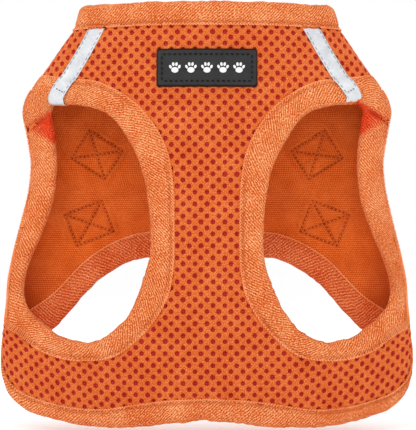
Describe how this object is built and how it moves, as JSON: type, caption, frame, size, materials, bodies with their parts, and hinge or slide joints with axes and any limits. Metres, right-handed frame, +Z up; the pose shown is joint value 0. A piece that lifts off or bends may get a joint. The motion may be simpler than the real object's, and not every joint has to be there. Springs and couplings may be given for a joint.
{
  "type": "step-in pet harness",
  "caption": "Step-in padded mesh vest harness with leg openings, bound edges, reflective stripes, opening back flaps, D-rings and a side-release buckle.",
  "frame": {"origin": "centre of the girth opening, where the pet's torso passes, level with the lowest point of the front hem", "axes": "+Z up towards the neck opening, -Y out of the chest panel, +Y out of the flat back, +X across the harness"},
  "size_m": [0.208, 0.0568, 0.2134],
  "materials": {
    "mesh": "woven air mesh",
    "lining": "fine knit",
    "binding": "ribbed tape",
    "reflective": "retroreflective tape",
    "thread": "sewing thread",
    "orange_thread": "sewing thread",
    "webbing": "flat woven webbing",
    "hook_and_loop": "hook and loop",
    "patch": "soft moulded rubber",
    "emblem": "white moulded rubber",
    "buckle": "moulded acetal",
    "ring": "plated wire"
  },
  "bodies": {
    "harness": {"chest_mesh": "mesh", "chest_lining": "lining", "front_hem_binding": "binding", "front_neck_binding": "binding", "left_leg_binding": "binding", "right_leg_binding": "binding", "left_reflective_stripe": "reflective", "right_reflective_stripe": "reflective", "label_patch": "patch", "label_emblem": "emblem"},
    "left_flap": {"left_back_mesh": "mesh", "left_back_lining": "lining", "left_hem_binding": "binding", "left_neck_binding": "binding", "left_strap": "webbing", "left_box_stitching": "orange_thread", "left_bar_tack": "thread", "loop_strip": "hook_and_loop"},
    "right_flap": {"right_back_mesh": "mesh", "right_back_lining": "lining", "right_hem_binding": "binding", "right_neck_binding": "binding", "right_strap": "webbing", "right_box_stitching": "orange_thread", "right_bar_tack": "thread", "closure_tab": "mesh", "hook_strip": "hook_and_loop"},
    "left_ring": {"left_d_ring": "ring"},
    "right_ring": {"right_d_ring": "ring"},
    "socket": {"buckle_socket": "buckle"},
    "plug": {"buckle_plug": "buckle"},
    "upper_arm": {"upper_arm": "buckle"},
    "lower_arm": {"lower_arm": "buckle"}
  },
  "joints": [
    {"name": "left_flap_fold", "type": "hinge", "parent": "harness", "child": "left_flap", "pos_m": [-0.0775, 0.0248, 0.107], "axis": [0.2055, 0, 0.9787], "range_deg": [0, 100]},
    {"name": "right_flap_fold", "type": "hinge", "parent": "harness", "child": "right_flap", "pos_m": [0.0775, 0.0248, 0.107], "axis": [0.2055, 0, -0.9787], "range_deg": [0, 100]},
    {"name": "left_ring_swing", "type": "hinge", "parent": "left_flap", "child": "left_ring", "pos_m": [-0.046, 0.0287, 0.118], "axis": [0, 0, -1], "range_deg": [0, 95]},
    {"name": "right_ring_swing", "type": "hinge", "parent": "right_flap", "child": "right_ring", "pos_m": [0.046, 0.0287, 0.118], "axis": [0, 0, 1], "range_deg": [0, 95]},
    {"name": "socket_swing", "type": "hinge", "parent": "left_flap", "child": "socket", "pos_m": [-0.031, 0.033, 0.118], "axis": [0, 0, 1], "range_deg": [0, 100]},
    {"name": "plug_swing", "type": "hinge", "parent": "right_flap", "child": "plug", "pos_m": [0.031, 0.033, 0.118], "axis": [0, 0, -1], "range_deg": [0, 100]},
    {"name": "upper_arm_flex", "type": "hinge", "parent": "plug", "child": "upper_arm", "pos_m": [0.0214, 0.033, 0.126], "axis": [0, -1, 0], "range_deg": [0, 7], "stiffness_Nm_per_rad": 0.2},
    {"name": "lower_arm_flex", "type": "hinge", "parent": "plug", "child": "lower_arm", "pos_m": [0.0214, 0.033, 0.11], "axis": [0, 1, 0], "range_deg": [0, 7], "stiffness_Nm_per_rad": 0.2}
  ],
  "couplings": [
    {"joint": "right_flap_fold", "follows": "left_flap_fold", "ratio": 1},
    {"joint": "lower_arm_flex", "follows": "upper_arm_flex", "ratio": 1}
  ]
}
